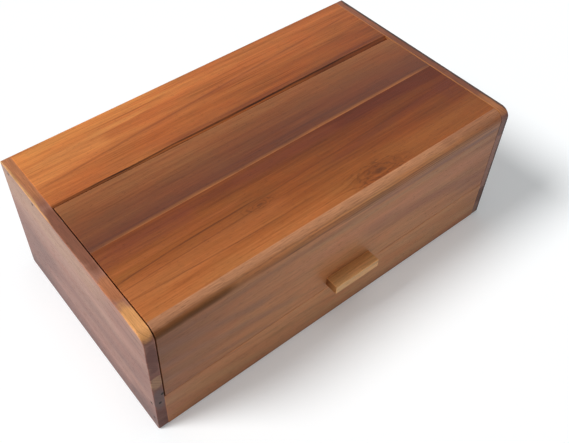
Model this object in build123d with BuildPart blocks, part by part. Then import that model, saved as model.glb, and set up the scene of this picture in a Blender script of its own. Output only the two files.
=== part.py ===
"""A wooden bread box. Its top and front open together as one flip-up lid on two hidden pivot pins."""

import os

from build123d import *

os.makedirs("parts", exist_ok=True)

# Driving dimensions, in millimetres. X runs to the right along the front, Y towards the back, and Z up.
# The origin is the centre of the footprint, on the surface that the box stands on.

# Whole box
box_width = 400.0
box_depth = 228.5
box_height = 140.0

# Thickness of the stock
panel_thickness = 9.5
stock_thickness = 11.0
back_thickness = 9.5
bottom_thickness = 9.0

# Rounding of the edges
front_round = 10.0
corner_round = 1.6
foot_round = 2.6
rail_foot_round = 1.6
arris = 0.8
lid_end_arris = 0.4
seam_arris = 0.25

# Parts of the fixed box
rear_top_depth = 75.0
rear_top_bevel_slope = 0.8
rear_top_bevel_reach = 8.0
rail_height = 46.6
back_lower_height = 66.0
bottom_front_width = 66.0
bottom_rear_width = 64.0

# Tongues and grooves that hold the bottom and the back
tongue_length = 4.0
tongue_thickness = 4.0
tongue_rise = 3.0
glue_gap = 0.15
groove_spare = 0.5

# Lid
lid_gap_left = 1.2
lid_gap_right = 0.35
lid_gap_rear = 3.0
lid_rear_taper = 3.5
lid_swing_gap_left = 1.5
lid_swing_gap_right = 1.9
lid_seam_gap = 0.3
lid_rear_board_width = 60.0

# Pivot pins of the lid
pin_radius = 2.0
pin_clearance = 0.06
pin_embedment = 20.0
pin_reach = 5.5
pin_setback = 16.0
pin_tip = 0.4

# Dowels in the lid's front corner
dowel_radius = 3.0
dowel_in_front_board = 7.5
dowel_in_top_board = 16.0
dowel_spacing = 96.0
dowel_count = 4
dowel_tip = 0.7

# Handle and its screws
handle_length = 51.0
handle_height = 9.4
handle_depth = 13.0
handle_offset = 7.5
handle_lift = 6.0
handle_arris = 0.7
screw_radius = 1.5
screw_clearance = 0.2
screw_head_radius = 3.0
screw_head_angle = 90.0
screw_in_handle = 8.5
screw_tip = 2.5
screw_spacing = 30.0
recess_width = 0.8
recess_span = 3.0
recess_depth = 1.0

# Brads through the side panels
brad_radius = 0.6
brad_length = 25.0
brad_hole_radius = 1.1
brad_sink = 1.3
top_brad_front = 16.5
top_brad_rear = 14.0
rail_brad_low = 14.6
rail_brad_high = 39.6

# Places that follow from these
half_width = box_width / 2
half_depth = box_depth / 2
front_y = -half_depth
rear_y = half_depth
inner_x = half_width - panel_thickness
board_under_z = box_height - stock_thickness
board_mid_z = box_height - stock_thickness / 2

rail_inner_y = front_y + stock_thickness
back_inner_y = rear_y - back_thickness
back_mid_y = rear_y - back_thickness / 2
rear_top_front_y = rear_y - rear_top_depth

groove_depth = tongue_length + groove_spare
groove_height = tongue_thickness + 2 * glue_gap
tongue_mid_z = tongue_rise + tongue_thickness / 2

lid_left_x = -inner_x + lid_gap_left
lid_right_x = inner_x - lid_gap_right
lid_mid_x = (lid_left_x + lid_right_x) / 2
lid_rear_y = rear_top_front_y - lid_gap_rear
lid_joint_y = lid_rear_y - lid_rear_board_width
lid_bottom_z = rail_height + lid_seam_gap
pivot_y = rear_top_front_y - pin_setback

handle_low_z = lid_bottom_z + handle_lift
handle_mid_z = handle_low_z + handle_height / 2


def block(low, high, mode=Mode.ADD):
    """A straight block between two opposite corners."""
    size = [b - a for a, b in zip(low, high)]
    with BuildSketch(Plane.XY.offset(low[2])) as base:
        with Locations(((low[0] + high[0]) / 2, (low[1] + high[1]) / 2)):
            Rectangle(size[0], size[1])
    extrude(base.sketch, amount=size[2], mode=mode)


def rod(start, direction, radius, length, mode=Mode.ADD):
    """A round rod, or its hole, that starts at a point and runs along a direction."""
    with BuildSketch(Plane(origin=start, z_dir=direction)) as section:
        Circle(radius)
    extrude(section.sketch, amount=length, mode=mode)


def finish(piece, name):
    """Labels a finished piece and writes it."""
    piece.part.label = name
    export_step(piece.part, f"parts/{name}.step")


# Brads: each side panel has two into the rear top board and two into the front rail.
top_brad_places = [
    (rear_top_front_y + top_brad_front, board_mid_z),
    (rear_y - top_brad_rear, board_mid_z),
]
rail_mid_y = front_y + stock_thickness / 2
rail_brad_places = [(rail_mid_y, rail_brad_low), (rail_mid_y, rail_brad_high)]


def brad_row(side, places, radius, mode=Mode.ADD):
    """Brads at these places, driven inwards from one side, with their heads below the surface."""
    start_x = side * (half_width - brad_sink)
    for place in places:
        rod((start_x, *place), (-side, 0, 0), radius, brad_length, mode=mode)


# Side panels: one board each, with grooves for the bottom and the back and a blind bore for the lid.
def make_side_panel(side, name):
    inner_face = Plane(origin=(side * inner_x, 0, 0), x_dir=(0, 1, 0), z_dir=(side, 0, 0))
    flip = inner_face.y_dir.Z
    with BuildPart() as panel:
        with BuildSketch(inner_face):
            with Locations((0, flip * box_height / 2)):
                Rectangle(box_depth, box_height)
        extrude(amount=panel_thickness)
        profile_edges = panel.edges().filter_by(Axis.X)
        top_edges = profile_edges.group_by(Axis.Z)[-1].sort_by(Axis.Y)
        fillet(top_edges[0], front_round)
        square_edges = panel.edges().filter_by(Axis.X).group_by(Axis.Z)
        fillet(square_edges[-1].sort_by(Axis.Y)[-1], corner_round)
        fillet(panel.edges().filter_by(Axis.X).group_by(Axis.Z)[0], foot_round)
        outer_face = panel.faces().filter_by(Axis.X).sort_by(Axis.X)[-1 if side > 0 else 0]
        fillet(outer_face.edges(), arris)
        groove_back_x = side * (inner_x + groove_depth)
        groove_x = sorted((side * inner_x, groove_back_x))
        block(
            (groove_x[0], rail_inner_y - glue_gap, tongue_rise - glue_gap),
            (groove_x[1], back_inner_y, tongue_rise + tongue_thickness + glue_gap),
            mode=Mode.SUBTRACT,
        )
        block(
            (groove_x[0], back_mid_y - groove_height / 2, 0),
            (groove_x[1], back_mid_y + groove_height / 2, board_under_z),
            mode=Mode.SUBTRACT,
        )
        rod(
            (side * inner_x, pivot_y, board_mid_z),
            (side, 0, 0),
            pin_radius + pin_clearance,
            pin_reach + groove_spare,
            mode=Mode.SUBTRACT,
        )
        for place in top_brad_places + rail_brad_places:
            rod((side * half_width, *place), (-side, 0, 0), brad_hole_radius, brad_sink, mode=Mode.SUBTRACT)
        brad_row(side, top_brad_places + rail_brad_places, brad_radius, mode=Mode.SUBTRACT)
    finish(panel, name)


make_side_panel(-1, "left_side_panel")
make_side_panel(1, "right_side_panel")

for side_name, side in (("left", -1), ("right", 1)):
    with BuildPart() as top_brads:
        brad_row(side, top_brad_places, brad_radius)
    finish(top_brads, f"top_board_brads_{side_name}")

    with BuildPart() as rail_brads:
        brad_row(side, rail_brad_places, brad_radius)
    finish(rail_brads, f"rail_brads_{side_name}")

# Rear top board: fixed between the side panels, over the back. Its front edge follows the lid's rear edge,
# and a bevel that widens to the right takes its top down to that edge.
with BuildPart() as rear_top_board:
    with BuildSketch(Plane.XY.offset(board_under_z)):
        with BuildLine():
            Polyline(
                (-inner_x, lid_rear_y + lid_swing_gap_left),
                (inner_x, lid_rear_y - lid_rear_taper + lid_swing_gap_right),
                (inner_x, rear_y),
                (-inner_x, rear_y),
                close=True,
            )
        make_face()
    extrude(amount=stock_thickness)
    bevel_low_y = rear_top_front_y - rear_top_bevel_reach
    with BuildSketch(Plane(origin=(-inner_x, 0, 0), x_dir=(0, 1, 0), z_dir=(1, 0, 0))) as bevel:
        with BuildLine():
            Polyline(
                (rear_top_front_y, box_height),
                (bevel_low_y, box_height),
                (bevel_low_y, box_height - rear_top_bevel_slope * rear_top_bevel_reach),
                close=True,
            )
        make_face()
    extrude(bevel.sketch, amount=2 * inner_x, mode=Mode.SUBTRACT)
    long_edges = rear_top_board.edges().filter_by(Axis.X).group_by(Axis.Z)[-1].sort_by(Axis.Y)
    fillet(long_edges[0], arris)
    fillet(long_edges[-1], corner_round)
    for side in (-1, 1):
        brad_row(side, top_brad_places, brad_radius, mode=Mode.SUBTRACT)
finish(rear_top_board, "rear_top_board")

# Back: two boards glued edge to edge, with a tongue at each end. The lower one is grooved for the bottom.
back_boards = {
    "back_lower_board": (0.0, back_lower_height),
    "back_upper_board": (back_lower_height, board_under_z),
}
for board_name, (low_z, high_z) in back_boards.items():
    with BuildPart() as back_board:
        block((-inner_x, back_inner_y, low_z), (inner_x, rear_y, high_z))
        if board_name == "back_lower_board":
            rear_edges = back_board.edges().filter_by(Axis.X).group_by(Axis.Z)[0]
            fillet(rear_edges.sort_by(Axis.Y)[-1], foot_round)
            block(
                (-inner_x, back_inner_y, tongue_mid_z - groove_height / 2),
                (inner_x, back_inner_y + groove_depth, tongue_mid_z + groove_height / 2),
                mode=Mode.SUBTRACT,
            )
        for side in (-1, 1):
            tongue_x = sorted((side * inner_x, side * (inner_x + tongue_length)))
            block(
                (tongue_x[0], back_mid_y - tongue_thickness / 2, low_z),
                (tongue_x[1], back_mid_y + tongue_thickness / 2, high_z),
            )
    finish(back_board, board_name)

# Bottom: three boards glued edge to edge, whose tongues enter the grooves of all four walls.
bottom_front_joint_y = rail_inner_y + bottom_front_width
bottom_rear_joint_y = back_inner_y - bottom_rear_width
bottom_boards = {
    "bottom_front_board": (rail_inner_y, bottom_front_joint_y, rail_inner_y - tongue_length, bottom_front_joint_y),
    "bottom_middle_board": (bottom_front_joint_y, bottom_rear_joint_y, bottom_front_joint_y, bottom_rear_joint_y),
    "bottom_rear_board": (bottom_rear_joint_y, back_inner_y, bottom_rear_joint_y, back_inner_y + tongue_length),
}
for board_name, (low_y, high_y, tongue_low_y, tongue_high_y) in bottom_boards.items():
    with BuildPart() as bottom_board:
        block((-inner_x, low_y, 0), (inner_x, high_y, bottom_thickness))
        tongue_low_z = tongue_mid_z - tongue_thickness / 2
        tongue_high_z = tongue_mid_z + tongue_thickness / 2
        block((-inner_x, tongue_low_y, tongue_low_z), (inner_x, tongue_high_y, tongue_high_z))
        end_x = inner_x + tongue_length
        block((-end_x, low_y, tongue_low_z), (end_x, high_y, tongue_high_z))
    finish(bottom_board, board_name)

# Front rail: fixed under the lid's front, flush with it, and grooved for the bottom.
with BuildPart() as front_rail:
    block((-inner_x, front_y, 0), (inner_x, rail_inner_y, rail_height))
    front_edges = front_rail.edges().filter_by(Axis.X).group_by(Axis.Y)[0].sort_by(Axis.Z)
    fillet(front_edges[0], rail_foot_round)
    fillet(front_edges[-1], seam_arris)
    block(
        (-inner_x, rail_inner_y - groove_depth, tongue_mid_z - groove_height / 2),
        (inner_x, rail_inner_y, tongue_mid_z + groove_height / 2),
        mode=Mode.SUBTRACT,
    )
    for side in (-1, 1):
        brad_row(side, rail_brad_places, brad_radius, mode=Mode.SUBTRACT)
finish(front_rail, "front_rail")

# Lid, rear board: its rear edge runs slightly out of square, and its ends hold the pivot pins.
with BuildPart() as lid_rear_board:
    with BuildSketch(Plane.XY.offset(board_under_z)):
        with BuildLine():
            Polyline(
                (lid_left_x, lid_joint_y),
                (lid_right_x, lid_joint_y),
                (lid_right_x, lid_rear_y - lid_rear_taper),
                (lid_left_x, lid_rear_y),
                close=True,
            )
        make_face()
    extrude(amount=stock_thickness)
    top_face = lid_rear_board.faces().sort_by(Axis.Z)[-1]
    rear_edge = top_face.edges().sort_by(Axis.Y)[-1]
    end_edges = top_face.edges().filter_by(Axis.Y)
    fillet([rear_edge, *end_edges], lid_end_arris)
    for end_x, inward in ((lid_left_x, 1), (lid_right_x, -1)):
        rod((end_x, pivot_y, board_mid_z), (inward, 0, 0), pin_radius, pin_embedment, mode=Mode.SUBTRACT)
finish(lid_rear_board, "lid_rear_board")

# Dowels: they join the lid's middle board to its front board, out of sight.
dowel_length = dowel_in_front_board + dowel_in_top_board
dowel_start_y = rail_inner_y - dowel_in_front_board
dowel_places = [
    lid_mid_x + (index - (dowel_count - 1) / 2) * dowel_spacing for index in range(dowel_count)
]
with BuildPart() as lid_corner_dowels:
    for x in dowel_places:
        with BuildSketch(Plane(origin=(x, dowel_start_y, board_mid_z), z_dir=(0, 1, 0))) as section:
            Circle(dowel_radius)
        extrude(amount=dowel_length)
    chamfer(lid_corner_dowels.edges().filter_by(GeomType.CIRCLE), dowel_tip)
finish(lid_corner_dowels, "lid_corner_dowels")

# Lid, middle board: between the rear board and the front board.
with BuildPart() as lid_middle_board:
    block((lid_left_x, rail_inner_y, board_under_z), (lid_right_x, lid_joint_y, box_height))
    fillet(lid_middle_board.faces().sort_by(Axis.Z)[-1].edges().filter_by(Axis.Y), lid_end_arris)
    for x in dowel_places:
        rod((x, dowel_start_y, board_mid_z), (0, 1, 0), dowel_radius, dowel_length, mode=Mode.SUBTRACT)
finish(lid_middle_board, "lid_middle_board")

# Handle: a plain bar on the lid's front board, held by two screws from inside.
handle_low_x = handle_offset - handle_length / 2
screw_places = [handle_offset - screw_spacing / 2, handle_offset + screw_spacing / 2]
with BuildPart() as handle:
    block(
        (handle_low_x, front_y - handle_depth, handle_low_z),
        (handle_low_x + handle_length, front_y, handle_low_z + handle_height),
    )
    back_face = handle.faces().sort_by(Axis.Y)[-1]
    fillet(handle.edges() - back_face.edges(), handle_arris)
    for x in screw_places:
        rod((x, front_y, handle_mid_z), (0, -1, 0), screw_radius, screw_in_handle, mode=Mode.SUBTRACT)
finish(handle, "handle")

# Lid, front board: it carries the rounded front edge and the handle.
with BuildPart() as lid_front_board:
    block((lid_left_x, front_y, lid_bottom_z), (lid_right_x, rail_inner_y, box_height))
    front_edges = lid_front_board.edges().filter_by(Axis.X).group_by(Axis.Y)[0].sort_by(Axis.Z)
    fillet(front_edges[-1], front_round)
    fillet(front_edges[0], seam_arris)
    front_face = lid_front_board.faces().filter_by(Axis.Y).sort_by(Axis.Y)[0]
    fillet(front_face.edges().filter_by(Axis.Z), lid_end_arris)
    for x in dowel_places:
        rod((x, dowel_start_y, board_mid_z), (0, 1, 0), dowel_radius, dowel_length, mode=Mode.SUBTRACT)
    with Locations([Plane(origin=(x, rail_inner_y, handle_mid_z), z_dir=(0, 1, 0)) for x in screw_places]):
        CounterSinkHole(screw_radius + screw_clearance, screw_head_radius, stock_thickness, screw_head_angle)
finish(lid_front_board, "lid_front_board")

# Screws of the handle: countersunk heads with a cross recess, flush with the inner face.
screw_tip_y = front_y - screw_in_handle
with BuildPart() as handle_screws:
    for x in screw_places:
        with BuildSketch(Plane(origin=(x, 0, handle_mid_z), x_dir=(1, 0, 0), z_dir=(0, 0, 1))) as profile:
            with BuildLine():
                Polyline(
                    (0, rail_inner_y),
                    (screw_head_radius, rail_inner_y),
                    (screw_radius, rail_inner_y - (screw_head_radius - screw_radius)),
                    (screw_radius, screw_tip_y + screw_tip),
                    (0, screw_tip_y),
                    close=True,
                )
            make_face()
        revolve(profile.sketch, axis=Axis((x, 0, handle_mid_z), (0, 1, 0)))
        for across, up in ((recess_span, recess_width), (recess_width, recess_span)):
            block(
                (x - across / 2, rail_inner_y - recess_depth, handle_mid_z - up / 2),
                (x + across / 2, rail_inner_y, handle_mid_z + up / 2),
                mode=Mode.SUBTRACT,
            )
finish(handle_screws, "handle_screws")

# Pivot pins: tight in the lid's ends, and free to turn in the side panels.
for side_name, side, end_x in (("left", -1, lid_left_x), ("right", 1, lid_right_x)):
    pin_end_x = side * (inner_x + pin_reach)
    pin_length = abs(pin_end_x - end_x) + pin_embedment
    with BuildPart() as pivot_pin:
        rod((pin_end_x, pivot_y, board_mid_z), (-side, 0, 0), pin_radius, pin_length)
        chamfer(pivot_pin.edges().filter_by(GeomType.CIRCLE), pin_tip)
    finish(pivot_pin, f"pivot_pin_{side_name}")
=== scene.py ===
import math

import bmesh
import bpy
from mathutils import Matrix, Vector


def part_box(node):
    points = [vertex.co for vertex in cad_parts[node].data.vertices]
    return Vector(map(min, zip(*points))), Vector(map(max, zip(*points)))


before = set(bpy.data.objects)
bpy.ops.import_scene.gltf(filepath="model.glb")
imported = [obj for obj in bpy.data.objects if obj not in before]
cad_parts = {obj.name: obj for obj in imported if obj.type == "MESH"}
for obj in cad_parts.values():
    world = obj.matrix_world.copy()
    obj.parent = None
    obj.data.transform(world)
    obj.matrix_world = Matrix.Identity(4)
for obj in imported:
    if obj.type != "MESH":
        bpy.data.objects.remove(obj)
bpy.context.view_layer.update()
mm = 0.001


# Camera: it stands in front of the box's left end, above it, and looks down to the right.
# The lens is shifted a little, to frame the box as the picture does.
camera_place = (-315.3 * mm, -383.7 * mm, 599.3 * mm)
camera_heading = math.radians(37.02)
camera_dip = math.radians(48.28)
camera_roll = math.radians(-0.68)

camera_data = bpy.data.cameras.new("camera")
camera_data.sensor_fit = "HORIZONTAL"
camera_data.sensor_width = 36.0
camera_data.lens = 47.79
camera_data.shift_x = 0.0778
camera_data.shift_y = -0.0247
camera_data.clip_start = 0.01
camera = bpy.data.objects.new("camera", camera_data)
bpy.context.scene.collection.objects.link(camera)
camera.matrix_world = (
    Matrix.Translation(camera_place)
    @ Matrix.Rotation(-camera_heading, 4, "Z")
    @ Matrix.Rotation(math.pi / 2 - camera_dip, 4, "X")
    @ Matrix.Rotation(camera_roll, 4, "Z")
)
bpy.context.scene.camera = camera


# Floor and light: a plain white table under a big soft light from the left, a little behind, and
# a weak one overhead. The box's shadow falls to the right, and a narrow one in front.
class Wiring:
    """The node tree of one material or of the room's light, made by short calls."""

    def __init__(self, tree):
        self.tree = tree
        self.tree.nodes.clear()

    def node(self, kind, inputs=(), **settings):
        """A node with its settings, and with its inputs joined to sockets or set to values."""
        made = self.tree.nodes.new(kind)
        for key, value in settings.items():
            setattr(made, key, value)
        for socket, value in dict(inputs).items():
            self.feed(made.inputs[socket], value)
        return made

    def feed(self, socket, value):
        if isinstance(value, bpy.types.NodeSocket):
            self.tree.links.new(value, socket)
        else:
            socket.default_value = value

    def math(self, operation, *values):
        return self.node("ShaderNodeMath", enumerate(values), operation=operation).outputs[0]

    def total(self, first, *others):
        for other in others:
            first = self.math("ADD", first, other)
        return first

    def product(self, first, *others):
        for other in others:
            first = self.math("MULTIPLY", first, other)
        return first

    def less(self, first, second):
        return self.math("SUBTRACT", first, second)

    def ratio(self, first, second):
        return self.math("DIVIDE", first, second)

    def length(self, *parts):
        """The length of a vector with these parts."""
        return self.math("SQRT", self.total(*[self.product(part, part) for part in parts]))

    def smooth(self, value, start, end, low=0.0, high=1.0):
        """Runs from low to high, with soft ends, as the value runs from start to end."""
        inputs = {"Value": value, "From Min": start, "From Max": end, "To Min": low, "To Max": high}
        return self.node("ShaderNodeMapRange", inputs, interpolation_type="SMOOTHSTEP").outputs[0]

    def mix(self, factor, first, second, blend="MIX"):
        """Blends two colours."""
        inputs = {0: factor, 6: first, 7: second}
        return self.node("ShaderNodeMix", inputs, data_type="RGBA", blend_type=blend).outputs[2]

    def ramp(self, factor, stops):
        """A colour ramp through stops of (place, colour)."""
        made = self.node("ShaderNodeValToRGB", {0: factor})
        elements = made.color_ramp.elements
        while len(elements) < len(stops):
            elements.new(0.5)
        for element, (place, colour) in zip(elements, stops):
            element.position = place
            element.color = (*colour, 1.0)
        return made.outputs[0]

    def shown_to_eye(self):
        """1 for a ray from the camera, a reflection or clear matter, and 0 for light itself."""
        path = self.node("ShaderNodeLightPath").outputs
        seen = self.math("MAXIMUM", path["Is Camera Ray"], path["Is Glossy Ray"])
        return self.math("MAXIMUM", seen, path["Is Transmission Ray"])


floor_radius = 3.0
floor_drop = 0.1 * mm
floor_white = (0.855, 0.868, 0.876, 1.0)
floor_cool = (0.945, 1.0, 1.02, 1.0)
floor_lift = 0.19
sky_light = 0.208

floor_mesh = bpy.data.meshes.new("floor")
rim = bmesh.new()
bmesh.ops.create_circle(rim, cap_ends=True, segments=96, radius=floor_radius)
rim.to_mesh(floor_mesh)
rim.free()
floor = bpy.data.objects.new("floor", floor_mesh)
floor.location.z = -floor_drop
bpy.context.scene.collection.objects.link(floor)

floor_material = bpy.data.materials.new("white_table")
floor_material.use_nodes = True
table = Wiring(floor_material.node_tree)
top_coat = table.node("ShaderNodeBsdfDiffuse", {"Color": floor_white}).outputs[0]
lift_strength = table.product(table.shown_to_eye(), floor_lift)
lift_inputs = {"Color": floor_cool, "Strength": lift_strength}
lift = table.node("ShaderNodeEmission", lift_inputs).outputs[0]
table_top = table.node("ShaderNodeAddShader", {0: top_coat, 1: lift}).outputs[0]
table.node("ShaderNodeOutputMaterial", {"Surface": table_top})
floor_mesh.materials.append(floor_material)

world = bpy.data.worlds.new("white_room")
world.use_nodes = True
bpy.context.scene.world = world
room = Wiring(world.node_tree)
room_strength = room.smooth(room.shown_to_eye(), 0.0, 1.0, sky_light, 1.0)
room_inputs = {"Color": (1.0, 1.0, 1.0, 1.0), "Strength": room_strength}
room_light = room.node("ShaderNodeBackground", room_inputs).outputs[0]
room.node("ShaderNodeOutputWorld", {"Surface": room_light})


def add_sun(name, towards, level, spread):
    """A sun in this direction. Level is what it adds to a white surface that lies flat."""
    distance = math.hypot(*towards)
    data = bpy.data.lights.new(name, "SUN")
    data.energy = level * math.pi * distance / towards[2]
    data.angle = math.radians(spread)
    lamp = bpy.data.objects.new(name, data)
    heading = math.atan2(towards[1], towards[0])
    tilt = math.acos(towards[2] / distance)
    lamp.matrix_world = Matrix.Rotation(heading, 4, "Z") @ Matrix.Rotation(tilt, 4, "Y")
    bpy.context.scene.collection.objects.link(lamp)


add_sun("window_light", (-119, 49, 140), level=0.62, spread=21)
add_sun("ceiling_light", (0, 0, 140), level=0.13, spread=34)


# Side panels: one acacia board each, sawn with its grain from front to back, sanded and oiled.
# Their top and front edges stay bare on either side of the lid. Brads hold the fixed boards.
def streak(start, end, width, strength, tint, bow=0.0):
    """A line from start to end, each given along and across the grain: in the wood, or painted
    shade.
    """
    return start, end, width, strength, tint, bow


def patch(centre, reach, strength, tint):
    """A patch of other colour, with a ragged edge: a stain or a lighter patch in the wood, a painted
    highlight, or painted shade.
    """
    return centre, reach, strength, tint


def knot(along, across, radius, stretch):
    """A knot at this place along and across the grain, so many times longer than it is wide."""
    return along, across, radius, stretch


def oiled_acacia(
    name,
    node,
    along,
    across,
    pith,
    tones,
    drift,
    ends=0.0,
    figure=(0.3, 0.25, 0.15),
    veins=0.5,
    streaks=(),
    patches=(),
    knots=(),
    wear_and_highlight=0.3,
    end_tone=0.15,
    seed=0.0,
):
    """Acacia, sanded and oiled to a satin sheen, for one board.

    along and across name the axes along and across the grain. pith is the tree's centre, across
    the grain and through the thickness. tones go from pale to dark. drift is the tone at the
    board's middle, its change from end to end and its change from edge to edge, and ends is how
    much darker both ends are. figure is the strength of the broad, middling and fine bands.
    """
    low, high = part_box(node)
    middle = (low + high) / 2
    size = high - low
    axes = {"x": 0, "y": 1, "z": 2}
    through = ({"x", "y", "z"} - {along, across}).pop()

    material = bpy.data.materials.new(name)
    material.use_nodes = True
    wood = Wiring(material.node_tree)
    coordinates = wood.node("ShaderNodeTexCoord").outputs
    place = wood.node("ShaderNodeSeparateXYZ", {0: coordinates["Object"]}).outputs
    facing = wood.node("ShaderNodeSeparateXYZ", {0: coordinates["Normal"]}).outputs
    u = place[axes[along]]
    v = place[axes[across]]
    w = place[axes[through]]

    def noise(length, width, layer, detail=2.0, of=v):
        """Noise about 0, in grains of this length along the wood and this width across.

        Each layer is a noise of its own.
        """
        parts = (wood.ratio(u, length), wood.ratio(of, width), seed + layer)
        vector = wood.node("ShaderNodeCombineXYZ", enumerate(parts)).outputs[0]
        inputs = {"Vector": vector, "Scale": 1.0, "Detail": detail, "Roughness": 0.55}
        return wood.less(wood.node("ShaderNodeTexNoise", inputs).outputs[0], 0.5)

    def tinted(colour, by):
        return wood.mix(1.0, colour, (*by, 1.0), "MULTIPLY")

    # Growth rings: circles about the pith, which wander along the board and pass round the knots.
    wander = wood.product(noise(260 * mm, 70 * mm, 1), 4.5 * mm)
    ripple = wood.product(noise(40 * mm, 14 * mm, 2), 1.2 * mm)
    run = wood.total(v, wander, ripple)
    reaches = []
    for knot_u, knot_v, radius, stretch in knots:
        step_u = wood.ratio(wood.less(u, knot_u), stretch * radius)
        step_v = wood.ratio(wood.less(v, knot_v), radius)
        ragged = wood.product(noise(6 * mm, 3 * mm, 3), 0.8)
        reach = wood.total(wood.length(step_u, step_v), ragged)
        push = wood.smooth(reach, 3.2, 0.0, 0.0, 1.1 * radius)
        side = wood.smooth(step_v, -0.6, 0.6, -1.0, 1.0)
        run = wood.less(run, wood.product(push, side))
        reaches.append(reach)
    ring = wood.length(wood.less(run, pith[0]), wood.less(w, pith[1]))

    # Tone: it drifts over the board, with broad, middling and fine bands along the rings.
    share_u = wood.ratio(wood.less(u, middle[axes[along]]), size[axes[along]])
    share_v = wood.ratio(wood.less(v, middle[axes[across]]), size[axes[across]])
    end_to_end = wood.product(share_u, drift[1])
    edge_to_edge = wood.product(share_v, drift[2])
    from_middle = wood.product(share_u, share_u, 4 * ends)
    tone = wood.total(drift[0], end_to_end, edge_to_edge, from_middle)
    band_sizes = ((330 * mm, 24 * mm), (240 * mm, 7 * mm), (150 * mm, 2.4 * mm))
    bands = []
    for index, (length, width) in enumerate(band_sizes):
        band = noise(length, width, 10 + index, detail=2.5, of=ring)
        bands.append(band)
        tone = wood.total(tone, wood.product(band, 3 * figure[index]))
    end_grain = wood.smooth(wood.math("ABSOLUTE", facing[axes[along]]), 0.55, 0.9)
    tone = wood.total(tone, wood.product(end_grain, end_tone))
    stops = [(index / (len(tones) - 1), colour) for index, colour in enumerate(tones)]
    colour = wood.ramp(tone, stops)

    # Blotches: slow changes of hue, some redder and some more golden.
    blotch = wood.smooth(noise(45 * mm, 16 * mm, 15, detail=3.0), -0.22, 0.22)
    hue = wood.mix(blotch, (0.95, 1.02, 1.04, 1.0), (1.05, 0.98, 0.96, 1.0))
    colour = wood.mix(1.0, colour, hue, "MULTIPLY")

    # Late wood: thin dark lines between the rings, which come and go.
    late_wood = (0.45, 0.36, 0.3)
    line_reach = 0.16 * mm
    for width, layer in ((7 * mm, 20), (3.2 * mm, 24)):
        contour = wood.math("ABSOLUTE", noise(600 * mm, width, layer, detail=1.0, of=ring))
        line = wood.smooth(contour, line_reach / width, 0.0)
        shown = wood.smooth(noise(90 * mm, 22 * mm, layer + 1), -0.10, 0.14)
        colour = wood.mix(wood.product(line, shown, veins), colour, tinted(colour, late_wood))

    # Patches, then streaks over them, that stand out on this board. over_edge runs across the
    # board and on over its rounded edges.
    over_edge = wood.total(v, w)
    mottle = wood.total(1.0, wood.product(noise(16 * mm, 1.3 * mm, 36, 3.0, over_edge), 1.1))
    for centre, reach, strength, tint in patches:
        steps = [wood.ratio(wood.less(place[i], centre[i]), reach[i]) for i in range(3)]
        ragged = wood.product(noise(22 * mm, 5 * mm, 35, 3.0), 0.9)
        edge = wood.total(wood.length(*steps), ragged)
        mask = wood.smooth(edge, 1.1, 0.7, 0.0, strength)
        colour = wood.mix(mask, colour, wood.mix(1.0, (*tint, 1.0), mottle, "MULTIPLY"))
    for (start_u, start_v), (end_u, end_v), width, strength, tint, bow in streaks:
        share = wood.ratio(wood.less(u, start_u), end_u - start_u)
        arch = wood.product(share, wood.less(1.0, share), 4 * bow)
        wobble = wood.product(noise(60 * mm, 25 * mm, 30), 2.2 * mm)
        centre = wood.total(start_v, wood.product(share, end_v - start_v), arch, wobble)
        off = wood.math("ABSOLUTE", wood.less(v, centre))
        mask = wood.smooth(off, width, 0.15 * width)
        fade = wood.product(wood.smooth(share, -0.05, 0.12), wood.smooth(share, 1.05, 0.88))
        uneven = wood.smooth(noise(50 * mm, 8 * mm, 31), -0.3, 0.2, 0.45, 1.0)
        colour = wood.mix(wood.product(mask, fade, uneven, strength), colour, (*tint, 1.0))

    # Knots: thin dark rings, broken and swirling, which crowd towards a small dark heart.
    knot_shade = (0.72, 0.6, 0.5)
    knot_dark = (0.075, 0.024, 0.010, 1.0)
    for reach in reaches:
        halo = wood.smooth(reach, 3.0, 0.6, 0.0, 0.5)
        colour = wood.mix(halo, colour, tinted(colour, knot_shade))
        twist = wood.product(noise(11 * mm, 5 * mm, 38, 3.0), 16.0)
        swirl = wood.total(wood.product(reach, 9.0), twist)
        knot_ring = wood.smooth(wood.math("SINE", swirl), 0.45, 1.0)
        broken = wood.smooth(noise(7 * mm, 4 * mm, 39), -0.2, 0.12)
        near = wood.smooth(reach, 2.8, 1.0, 0.0, 0.6)
        knot_lines = wood.product(knot_ring, broken, near)
        heart = wood.smooth(reach, 0.55, 0.2, 0.0, 0.55)
        colour = wood.mix(wood.math("MAXIMUM", knot_lines, heart), colour, knot_dark)

    # Fibres and pores: fine lines and short dark dashes, which end grain shows as dots.
    pore_length = 6 * mm
    pore_width = 0.35 * mm
    fibre = noise(24 * mm, 0.8 * mm, 40, 3.0, over_edge)
    pore_steps = (wood.ratio(u, pore_length), wood.ratio(v, pore_width), wood.ratio(w, pore_width))
    pore_vector = wood.node("ShaderNodeCombineXYZ", enumerate(pore_steps)).outputs[0]
    pore_inputs = {"Vector": pore_vector, "Scale": 1.0, "Detail": 1.0}
    pore = wood.smooth(wood.node("ShaderNodeTexNoise", pore_inputs).outputs[0], 0.63, 0.72)
    shade = wood.total(1.0, wood.product(fibre, 0.6), wood.product(pore, -0.42))
    colour = wood.mix(1.0, colour, shade, "MULTIPLY")

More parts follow.
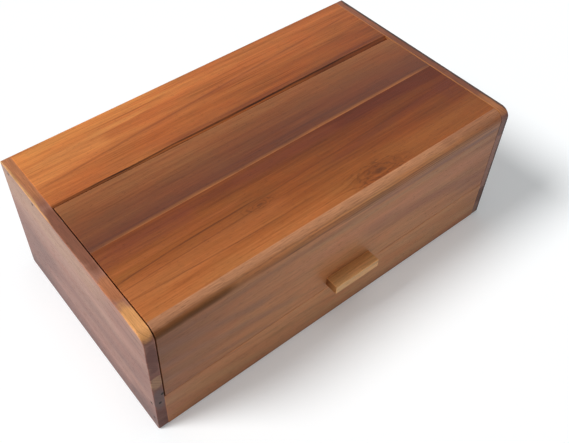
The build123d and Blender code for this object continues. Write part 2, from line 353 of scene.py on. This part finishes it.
    # Wear and painted highlight: the arrises are painted a little paler, to an uneven depth, as
    # rubbed wood and as the light they catch.
    rubbed_highlight_tint = (1.7, 1.55, 1.4)
    depths = []
    for axis in range(3):
        from_low = wood.less(place[axis], low[axis])
        from_high = wood.less(high[axis], place[axis])
        depths.append(wood.math("MINIMUM", from_low, from_high))
    nearer = wood.math("MINIMUM", depths[0], depths[1])
    further = wood.math("MAXIMUM", depths[0], depths[1])
    to_edge = wood.math("MAXIMUM", nearer, wood.math("MINIMUM", further, depths[2]))
    uneven_edge = wood.total(to_edge, wood.product(noise(20 * mm, 20 * mm, 50), mm))
    rubbed_and_highlight = wood.smooth(uneven_edge, 1.2 * mm, 0.2 * mm)
    colour = wood.mix(wood.product(rubbed_and_highlight, wear_and_highlight), colour, tinted(colour, rubbed_highlight_tint))

    # Oil finish: satin, duller in the pores and on end grain, with the fibres just felt.
    satin = 0.38
    oil_ior = 1.4
    oil_shine = 0.22
    relief = 0.15 * mm
    fibre_dull = wood.product(fibre, 0.16)
    pore_dull = wood.product(pore, 0.2)
    end_dull = wood.product(end_grain, 0.12)
    roughness = wood.total(satin, fibre_dull, pore_dull, end_dull)
    raised = wood.product(fibre, 0.5)
    sunk = wood.product(pore, -0.8)
    height = wood.total(raised, sunk, wood.product(bands[2], 0.6))
    bump_inputs = {"Height": height, "Strength": 0.35, "Distance": relief}
    bump = wood.node("ShaderNodeBump", bump_inputs).outputs[0]
    inputs = {
        "Base Color": colour,
        "Roughness": roughness,
        "Normal": bump,
        "IOR": oil_ior,
        "Specular IOR Level": oil_shine,
    }
    shader = wood.node("ShaderNodeBsdfPrincipled", inputs).outputs[0]
    wood.node("ShaderNodeOutputMaterial", {"Surface": shader})
    return material


def dress(node, material):
    """Puts this material on a piece, in place of the plain one."""
    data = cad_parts[node].data
    data.materials.clear()
    data.materials.append(material)


side_tones = [(0.46, 0.235, 0.145), (0.33, 0.15, 0.105), (0.225, 0.09, 0.065), (0.12, 0.042, 0.03)]
rear_gold = (0.45, 0.165, 0.062)
top_brown = (0.18, 0.055, 0.03)
top_orange = (0.42, 0.15, 0.06)
gold_sapwood = (0.68, 0.32, 0.115)
outer_arris_highlight = (0.60, 0.32, 0.13)
mauve = (0.13, 0.045, 0.035)
olive = (0.42, 0.235, 0.13)
grey_stain = (0.13, 0.085, 0.085)
foot_brown = (0.27, 0.12, 0.085)
hole_shade_black = (0.004, 0.002, 0.0015)
# Most patches are centred just outside the top or the front edge, and midway through the panel.
above_top = 143 * mm
before_front = -116 * mm
left_middle = -195 * mm
right_middle = 195 * mm
left_patches = [
    patch((-194 * mm, 100 * mm, above_top), (8 * mm, 56 * mm, 9 * mm), 0.85, rear_gold),
    patch((-194 * mm, 2 * mm, above_top), (8 * mm, 52 * mm, 9 * mm), 0.85, top_brown),
    patch((-194 * mm, -62 * mm, above_top), (8 * mm, 18 * mm, 9 * mm), 0.85, top_orange),
    patch((-195.5 * mm, -108 * mm, above_top), (9 * mm, 38 * mm, 9 * mm), 0.95, gold_sapwood),
    # Painted highlight: a pale gold line along the outer top arris, on its rear part.
    patch((-200.5 * mm, 74 * mm, 140.5 * mm), (2.6 * mm, 60 * mm, 2.6 * mm), 0.8, outer_arris_highlight),
    patch((left_middle, before_front, 108 * mm), (7 * mm, 5 * mm, 24 * mm), 0.8, mauve),
    patch((left_middle, before_front, 74 * mm), (7 * mm, 5 * mm, 10 * mm), 0.8, olive),
    patch((left_middle, before_front, 48 * mm), (7 * mm, 5 * mm, 19 * mm), 0.8, grey_stain),
    patch((left_middle, before_front, 11 * mm), (7 * mm, 5 * mm, 13 * mm), 0.7, foot_brown),
    # Painted shade: two small holes in the front edge, painted near black.
    patch((-191.7 * mm, -115 * mm, 53.4 * mm), (1.9 * mm, 3 * mm, 2.0 * mm), 1.0, hole_shade_black),
    patch((left_middle, -115 * mm, 41.9 * mm), (1.5 * mm, 3 * mm, 1.7 * mm), 1.0, hole_shade_black),
]
right_brown = (0.185, 0.063, 0.032)
right_rear_tan = (0.29, 0.105, 0.055)
right_front_gold = (0.38, 0.15, 0.06)
right_rose = (0.36, 0.19, 0.15)
right_plum = (0.15, 0.07, 0.055)
right_dark = (0.09, 0.028, 0.014)
right_foot = (0.30, 0.17, 0.12)
inner_arris_highlight = (0.46, 0.18, 0.055)
top_arris_shade = (0.05, 0.032, 0.03)
front_arris_shade = (0.04, 0.024, 0.022)
right_patches = [
    patch((right_middle, 0, above_top), (9 * mm, 140 * mm, 9 * mm), 0.9, right_brown),
    patch((right_middle, 90 * mm, above_top), (9 * mm, 60 * mm, 9 * mm), 0.7, right_rear_tan),
    patch((right_middle, -104 * mm, above_top), (9 * mm, 25 * mm, 9 * mm), 0.8, right_front_gold),
    patch((right_middle, before_front, 70 * mm), (9 * mm, 6 * mm, 80 * mm), 0.7, right_rose),
    patch((right_middle, before_front, 122 * mm), (9 * mm, 6 * mm, 14 * mm), 0.7, right_plum),
    patch((right_middle, before_front, 30 * mm), (9 * mm, 6 * mm, 14 * mm), 0.7, right_dark),
    patch((right_middle, before_front, 8 * mm), (9 * mm, 6 * mm, 9 * mm), 0.7, right_foot),
    # Painted highlight: a pale gold line along the inner top arris.
    patch((190.3 * mm, 0, 140.5 * mm), (1.2 * mm, 400 * mm, 3 * mm), 0.75, inner_arris_highlight),
    # Painted shade: dark lines along the outer top and front arrises, which face away from the
    # light.
    patch((200.6 * mm, 0, 141.6 * mm), (4.2 * mm, 400 * mm, 4.2 * mm), 0.9, top_arris_shade),
    patch((200.6 * mm, -115.8 * mm, 70 * mm), (4.0 * mm, 4.0 * mm, 200 * mm), 0.9, front_arris_shade),
]
# A near-black spot over each brad stands for its dark head and for the painted shade of the hole it
# is set in. A pair of brads lies in two corners of the box round it.
brad_radius = 0.6 * mm
brad_places = []
for node in ("top_board_brads_left", "rail_brads_left"):
    low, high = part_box(node)
    brad_places.append((low.y + brad_radius, low.z + brad_radius))
    brad_places.append((high.y - brad_radius, high.z - brad_radius))
outer_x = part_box("right_side_panel")[1].x
hole_reach = (4 * mm, 2.1 * mm, 2.0 * mm)
for side, patches in ((-1, left_patches), (1, right_patches)):
    for hole_y, hole_z in brad_places:
        patches.append(patch((side * outer_x, hole_y, hole_z), hole_reach, 1.0, hole_shade_black))
plum = (0.17, 0.065, 0.05)
rose = (0.42, 0.21, 0.155)
dark_vein = (0.10, 0.03, 0.02)
plum_vein = (0.17, 0.06, 0.045)
low_rose = (0.40, 0.20, 0.14)
low_vein = (0.18, 0.065, 0.05)
foot_plum = (0.13, 0.04, 0.03)
grey_plum = (0.16, 0.07, 0.055)
front_foot_dark = (0.09, 0.026, 0.018)
upper_tan = (0.50, 0.30, 0.185)
rose_tan = (0.44, 0.25, 0.18)
warm_rose = (0.42, 0.20, 0.145)
rear_foot_dark = (0.10, 0.04, 0.03)
left_streaks = [
    streak((-114 * mm, 66 * mm), (114 * mm, 84 * mm), 20 * mm, 0.6, plum, bow=-20 * mm),
    streak((-114 * mm, 100 * mm), (60 * mm, 108 * mm), 12 * mm, 0.35, rose),
    streak((-114 * mm, 127 * mm), (-60 * mm, 131 * mm), 1.8 * mm, 0.75, dark_vein),
    streak((-114 * mm, 118 * mm), (20 * mm, 116 * mm), 3.6 * mm, 0.4, plum_vein),
    streak((-114 * mm, 84 * mm), (10 * mm, 92 * mm), 2.6 * mm, 0.4, plum_vein),
    streak((-114 * mm, 44 * mm), (40 * mm, 48 * mm), 10 * mm, 0.45, low_rose),
    streak((-114 * mm, 24 * mm), (114 * mm, 26 * mm), 4 * mm, 0.35, low_vein),
    streak((-114 * mm, 8 * mm), (124 * mm, 4 * mm), 20 * mm, 0.9, foot_plum),
    streak((40 * mm, 44 * mm), (134 * mm, 60 * mm), 34 * mm, 0.6, grey_plum),
    streak((-122 * mm, 14 * mm), (-72 * mm, 16 * mm), 24 * mm, 0.8, front_foot_dark),
    streak((-60 * mm, 124 * mm), (240 * mm, 118 * mm), 22 * mm, 0.65, upper_tan),
    streak((-90 * mm, 92 * mm), (240 * mm, 110 * mm), 18 * mm, 0.45, rose_tan),
    streak((-90 * mm, 30 * mm), (70 * mm, 36 * mm), 11 * mm, 0.6, warm_rose),
    streak((60 * mm, 13 * mm), (130 * mm, 9 * mm), 12 * mm, 0.5, rear_foot_dark),
]
panels = (
    ("left_side_panel", 3.0, (0.48, 0.0, -0.40), 0.3, left_streaks, left_patches),
    ("right_side_panel", 8.0, (0.60, 0.0, -0.2), 0.08, (), right_patches),
)
for node, seed, drift, wear_and_highlight, streaks, patches in panels:
    panel_wood = oiled_acacia(
        f"acacia_{node}",
        node,
        along="y",
        across="z",
        pith=(-60 * mm, -330 * mm),
        tones=side_tones,
        drift=drift,
        figure=(0.40, 0.07, 0.05),
        veins=0.2,
        streaks=streaks,
        patches=patches,
        wear_and_highlight=wear_and_highlight,
        seed=seed,
    )
    dress(node, panel_wood)


# Rear top board: the palest board, orange acacia with pale sapwood at its rear left corner. It is
# nailed between the side panels, over the back. Its front edge is bevelled down to the lid.
long_vein = (0.20, 0.05, 0.016)
vein_shade = (0.30, 0.085, 0.03)
pale_sapwood = (0.72, 0.30, 0.09)
warm_sapwood = (0.74, 0.29, 0.085)
front_brown = (0.32, 0.09, 0.03)
bevel_streak_and_shade = (0.13, 0.032, 0.016)
bevel_shade = (0.12, 0.03, 0.014)
groove_shade_brown = (0.04, 0.012, 0.006)
groove_shade_black = (0.02, 0.008, 0.004)
rear_top_wood = oiled_acacia(
    "acacia_rear_top_board",
    "rear_top_board",
    along="x",
    across="y",
    pith=(-160 * mm, -60 * mm),
    tones=[(0.70, 0.25, 0.065), (0.52, 0.155, 0.042), (0.36, 0.10, 0.026), (0.19, 0.05, 0.017)],
    drift=(0.46, 0.52, -0.42),
    figure=(0.18, 0.24, 0.18),
    veins=0.45,
    streaks=[
        streak((-190 * mm, 62 * mm), (192 * mm, 90 * mm), 1.8 * mm, 0.7, long_vein),
        streak((-100 * mm, 68 * mm), (120 * mm, 84 * mm), 5 * mm, 0.35, vein_shade),
        streak((-190 * mm, 88 * mm), (-60 * mm, 94 * mm), 4 * mm, 0.5, pale_sapwood),
        streak((-205 * mm, 72 * mm), (-110 * mm, 82 * mm), 17 * mm, 0.4, warm_sapwood),
        streak((-190 * mm, 45 * mm), (30 * mm, 51 * mm), 6 * mm, 0.4, front_brown),
        # Painted shade: dark bands and lines along the bevel and in the gap before the lid; the band
        # high on the bevel is partly the wood's own purple-brown streak.
        streak((-90 * mm, 41.5 * mm), (192 * mm, 42.5 * mm), 4.5 * mm, 0.65, bevel_streak_and_shade),
        streak((90 * mm, 36 * mm), (192 * mm, 36 * mm), 4 * mm, 0.7, bevel_shade),
        streak((-200 * mm, 38.6 * mm), (200 * mm, 38.9 * mm), 1.1 * mm, 1.0, groove_shade_brown),
        streak((-200 * mm, 37.6 * mm), (200 * mm, 34.6 * mm), 1.2 * mm, 1.0, groove_shade_black),
    ],
    seed=12.0,
)
dress("rear_top_board", rear_top_wood)


# Back: two acacia boards glued edge to edge, their end tongues held in the side panels' grooves.
# The lower one is grooved for the bottom. Both are oiled like the rest.
back_tones = [(0.52, 0.20, 0.07), (0.38, 0.125, 0.04), (0.26, 0.08, 0.026), (0.14, 0.04, 0.015)]
for node, seed, middle_tone in (("back_lower_board", 17.0, 0.55), ("back_upper_board", 19.0, 0.35)):
    back_wood = oiled_acacia(
        f"acacia_{node}",
        node,
        along="x",
        across="z",
        pith=(-80 * mm, 260 * mm),
        tones=back_tones,
        drift=(middle_tone, 0.2, 0.1),
        seed=seed,
    )
    dress(node, back_wood)


# Bottom: three acacia boards glued edge to edge, whose tongues run in the grooves of the walls.
# They are oiled like the rest.
for node, seed, middle_tone in (
    ("bottom_front_board", 23.0, 0.55),
    ("bottom_middle_board", 27.0, 0.35),
    ("bottom_rear_board", 29.0, 0.5),
):
    bottom_wood = oiled_acacia(
        f"acacia_{node}",
        node,
        along="x",
        across="y",
        pith=(-80 * mm, -160 * mm),
        tones=back_tones,
        drift=(middle_tone, 0.2, 0.1),
        seed=seed,
    )
    dress(node, bottom_wood)


# Front rail: the fixed lower part of the front, of the same plain brown acacia as the lid's front.
# It is nailed between the side panels, and the lid's front rests on it.
front_tones = [(0.66, 0.31, 0.135), (0.56, 0.235, 0.095), (0.41, 0.16, 0.065), (0.26, 0.095, 0.038)]
rail_olive = (0.50, 0.28, 0.12)
rail_vein = (0.34, 0.14, 0.06)
rail_tan = (0.58, 0.30, 0.15)
rail_foot = (0.36, 0.12, 0.04)
rail_pale = (0.66, 0.34, 0.16)
rail_wood = oiled_acacia(
    "acacia_front_rail",
    "front_rail",
    along="x",
    across="z",
    pith=(-300 * mm, -60 * mm),
    tones=front_tones,
    drift=(0.20, -0.14, 0.0),
    ends=0.38,
    figure=(0.14, 0.14, 0.10),
    veins=0.3,
    streaks=[
        streak((-195 * mm, 34 * mm), (-90 * mm, 14 * mm), 10 * mm, 0.4, rail_olive),
        streak((-160 * mm, 50 * mm), (20 * mm, 22 * mm), 3 * mm, 0.35, rail_vein),
        streak((60 * mm, 40 * mm), (195 * mm, 12 * mm), 8 * mm, 0.4, rail_tan),
        streak((-200 * mm, 1.5 * mm), (200 * mm, 1.5 * mm), 4 * mm, 0.7, rail_foot),
        streak((-30 * mm, 15 * mm), (200 * mm, 15 * mm), 8 * mm, 0.45, rail_pale),
    ],
    seed=33.0,
)
dress("front_rail", rail_wood)


# Lid, rear board: the darkest acacia board, olive brown along its rear edge and purplish further
# on. Its ends are bored for the pivot pins.
rear_edge_olive = (0.38, 0.14, 0.045)
lid_rear_wood = oiled_acacia(
    "acacia_lid_rear_board",
    "lid_rear_board",
    along="x",
    across="y",
    pith=(-220 * mm, 40 * mm),
    tones=[(0.37, 0.14, 0.05), (0.24, 0.08, 0.030), (0.17, 0.054, 0.026), (0.105, 0.036, 0.025)],
    drift=(0.47, 0.05, -0.75),
    figure=(0.12, 0.16, 0.14),
    veins=0.3,
    streaks=[streak((-195 * mm, -24.5 * mm), (195 * mm, -24.0 * mm), 5 * mm, 0.8, rear_edge_olive)],
    seed=37.0,
)
dress("lid_rear_board", lid_rear_wood)


# Lid, middle board: reddish-brown acacia, golden at its front left, with two knots. It is glued
# edge to edge to the rear board.
line_brown = (0.085, 0.022, 0.010)
golden_zone = (0.50, 0.155, 0.05)
rear_middle = (0.27, 0.075, 0.03)
rear_mauve = (0.15, 0.034, 0.020)
left_mauve = (0.19, 0.045, 0.026)
red_band = (0.15, 0.034, 0.018)
right_red = (0.14, 0.032, 0.018)
olive_zone = (0.33, 0.115, 0.032)
left_orange = (0.44, 0.125, 0.04)
lid_middle_wood = oiled_acacia(
    "acacia_lid_middle_board",
    "lid_middle_board",
    along="x",
    across="y",
    pith=(-260 * mm, 60 * mm),
    tones=[(0.46, 0.15, 0.042), (0.32, 0.095, 0.023), (0.20, 0.052, 0.014), (0.11, 0.023, 0.008)],
    drift=(0.50, 0.55, 0.70),
    figure=(0.16, 0.16, 0.14),
    veins=0.4,
    streaks=[
        streak((-215 * mm, -74 * mm), (-30 * mm, -74 * mm), 16 * mm, 0.4, golden_zone),
        streak((-195 * mm, -63 * mm), (-40 * mm, -58 * mm), 1.0 * mm, 0.6, line_brown, bow=2 * mm),
        streak((-195 * mm, -70 * mm), (-52 * mm, -66 * mm), 0.8 * mm, 0.5, line_brown),
        streak((-195 * mm, -80 * mm), (-10 * mm, -84 * mm), 0.9 * mm, 0.55, line_brown, bow=-2 * mm),
        streak((-60 * mm, -32 * mm), (60 * mm, -32 * mm), 9 * mm, 0.4, rear_middle),
        streak((-60 * mm, -60 * mm), (150 * mm, -52 * mm), 1.0 * mm, 0.5, line_brown),
        streak((-195 * mm, -31 * mm), (195 * mm, -33 * mm), 9 * mm, 0.4, rear_mauve),
        streak((-200 * mm, -38 * mm), (-100 * mm, -36 * mm), 14 * mm, 0.5, left_mauve),
        streak((20 * mm, -64 * mm), (200 * mm, -50 * mm), 6 * mm, 0.45, red_band),
        streak((165 * mm, -60 * mm), (220 * mm, -52 * mm), 20 * mm, 0.5, right_red),
        streak((50 * mm, -94 * mm), (200 * mm, -86 * mm), 15 * mm, 0.5, olive_zone),
        streak((-195 * mm, -52 * mm), (-60 * mm, -50 * mm), 4 * mm, 0.4, left_orange),
    ],
    knots=[knot(-54 * mm, -64 * mm, 2.4 * mm, 3.6), knot(50 * mm, -96 * mm, 6.8 * mm, 2.2)],
    wear_and_highlight=0.1,
    seed=41.0,
)
dress("lid_middle_board", lid_middle_wood)


# Lid, front board: upright, of plain brown acacia, with a pale band along its rounded top edge that
# is partly paler wood and partly painted highlight. It is glued and dowelled to the front edge of
# the middle board.
corner_gold = (0.15, 0.05, 0.008)
edge_gold = (0.26, 0.11, 0.04)
strip_line = (0.24, 0.11, 0.055)
strip_line_dark = (0.20, 0.09, 0.045)
edge_line = (0.14, 0.055, 0.025)
edge_line_pale = (0.16, 0.07, 0.035)
edge_plum = (0.22, 0.11, 0.085)
front_olive = (0.46, 0.25, 0.12)
front_orange = (0.62, 0.25, 0.13)
front_red = (0.30, 0.11, 0.065)
upper_brown = (0.24, 0.105, 0.06)
front_tan = (0.56, 0.28, 0.14)
right_brown_band = (0.32, 0.135, 0.08)
upper_grey = (0.27, 0.13, 0.085)
middle_grey = (0.28, 0.14, 0.09)
lower_grey = (0.30, 0.145, 0.09)
thin_brown = (0.34, 0.15, 0.075)
strip_beige_and_highlight = (0.46, 0.21, 0.105)
strip_brown = (0.30, 0.125, 0.062)
lid_front_wood = oiled_acacia(
    "acacia_lid_front_board",
    "lid_front_board",
    along="x",
    across="z",
    pith=(-300 * mm, -60 * mm),
    tones=front_tones,
    drift=(0.34, -0.25, 0.1),
    ends=0.5,
    figure=(0.14, 0.14, 0.14),
    veins=0.3,
    streaks=[
        streak((-215 * mm, 133.5 * mm), (-115 * mm, 133.5 * mm), 5.5 * mm, 0.95, corner_gold),
        streak((-135 * mm, 133 * mm), (60 * mm, 133 * mm), 3 * mm, 0.35, edge_gold),
        streak((-200 * mm, 137.5 * mm), (120 * mm, 136.5 * mm), 0.6 * mm, 0.6, strip_line),
        streak((-60 * mm, 135 * mm), (190 * mm, 134 * mm), 0.7 * mm, 0.7, strip_line_dark),
        streak((-20 * mm, 133.2 * mm), (200 * mm, 132.5 * mm), 0.6 * mm, 0.7, strip_line_dark),
        streak((-90 * mm, 131.5 * mm), (200 * mm, 130 * mm), 1.0 * mm, 0.8, edge_line),
        streak((-20 * mm, 129 * mm), (150 * mm, 128 * mm), 0.8 * mm, 0.7, edge_line_pale),
        streak((20 * mm, 125.5 * mm), (200 * mm, 124 * mm), 4.5 * mm, 0.6, edge_plum),
        streak((-60 * mm, 118 * mm), (200 * mm, 117 * mm), 4 * mm, 0.5, front_olive),
        streak((-60 * mm, 104 * mm), (200 * mm, 99 * mm), 15 * mm, 0.5, front_orange),
        streak((20 * mm, 94 * mm), (210 * mm, 56 * mm), 13 * mm, 0.55, front_red, bow=6 * mm),
        streak((-180 * mm, 123 * mm), (20 * mm, 122 * mm), 5 * mm, 0.4, upper_brown),
        streak((50 * mm, 68 * mm), (210 * mm, 34 * mm), 10 * mm, 0.2, front_tan),
        streak((150 * mm, 62 * mm), (215 * mm, 50 * mm), 8 * mm, 0.4, right_brown_band),
        streak((-200 * mm, 116 * mm), (-80 * mm, 88 * mm), 9 * mm, 0.45, upper_grey),
        streak((-200 * mm, 94 * mm), (-50 * mm, 62 * mm), 7 * mm, 0.45, middle_grey),
        streak((-200 * mm, 72 * mm), (-70 * mm, 46 * mm), 5 * mm, 0.4, lower_grey),
        streak((-150 * mm, 78 * mm), (30 * mm, 48 * mm), 2 * mm, 0.3, thin_brown),
    ],
    patches=[
        # Partly painted highlight: the rounded top edge is painted pale beige along its length.
        patch((-60 * mm, -104 * mm, above_top), (800 * mm, 12 * mm, 8 * mm), 0.85, strip_beige_and_highlight),
        patch((170 * mm, -104 * mm, above_top), (60 * mm, 12 * mm, 10 * mm), 0.7, strip_brown),
    ],
    wear_and_highlight=0.1,
    seed=44.0,
)
dress("lid_front_board", lid_front_wood)


# Dowels: pale hardwood pegs with eased tips, left bare. They are glued into the lid's front corner
# and out of sight.
dowel_wood = oiled_acacia(
    "pale_dowel_wood",
    "lid_corner_dowels",
    along="y",
    across="x",
    pith=(0.0, 100 * mm),
    tones=[(0.75, 0.58, 0.38), (0.66, 0.48, 0.30), (0.58, 0.40, 0.24)],
    drift=(0.4, 0.0, 0.0),
    seed=57.0,
)
dress("lid_corner_dowels", dowel_wood)


# Handle: a plain bar of paler acacia with eased edges, sanded and oiled. Two screws hold it from
# inside the lid.
handle_wood = oiled_acacia(
    "acacia_handle",
    "handle",
    along="x",
    across="y",
    pith=(-260 * mm, -20 * mm),
    tones=[(0.86, 0.48, 0.21), (0.70, 0.345, 0.13), (0.52, 0.23, 0.08), (0.29, 0.105, 0.035)],
    # Painted shade: the handle darkens from its front towards its back, where the lid's front shades
    # it.
    drift=(0.3, 0.0, 0.5),
    figure=(0.1, 0.15, 0.1),
    end_tone=0.5,
    seed=51.0,
)
dress("handle", handle_wood)


# Brads: thin, almost headless nails of dark drawn steel. They are driven through the side panels
# and set a little below the surface.
def drawn_steel(name, colour, roughness):
    """Steel with fine marks and an uneven tint."""
    material = bpy.data.materials.new(name)
    material.use_nodes = True
    steel = Wiring(material.node_tree)
    place = steel.node("ShaderNodeTexCoord").outputs["Object"]
    mark_inputs = {"Vector": place, "Scale": 900.0, "Detail": 3.0}
    marks = steel.node("ShaderNodeTexNoise", mark_inputs).outputs[0]
    tint = steel.ramp(marks, [(0.3, [0.8 * part for part in colour]), (0.7, colour)])
    rough = steel.smooth(marks, 0.2, 0.8, roughness - 0.08, roughness + 0.08)
    inputs = {"Base Color": tint, "Roughness": rough, "Metallic": 1.0}
    shader = steel.node("ShaderNodeBsdfPrincipled", inputs).outputs[0]
    steel.node("ShaderNodeOutputMaterial", {"Surface": shader})
    return material


brad_black = (0.04, 0.037, 0.035)
brad_steel = drawn_steel("brad_steel", brad_black, roughness=0.6)
for node in ("top_board_brads_left", "top_board_brads_right", "rail_brads_left", "rail_brads_right"):
    dress(node, brad_steel)


# Handle screws: two zinc-plated steel screws with cross recesses, countersunk in the lid's inner
# face and driven into the handle.
zinc_grey = (0.62, 0.61, 0.58)
dress("handle_screws", drawn_steel("screw_steel", zinc_grey, roughness=0.3))


# Pivot pins: short pins of ground bright steel, tight in the ends of the lid's rear board. They
# turn in blind bores in the side panels.
bright_grey = (0.65, 0.65, 0.65)
pin_steel = drawn_steel("pin_steel", bright_grey, roughness=0.25)
for node in ("pivot_pin_left", "pivot_pin_right"):
    dress(node, pin_steel)


# Last, the plain colour transform.
bpy.context.scene.view_settings.view_transform = "Standard"
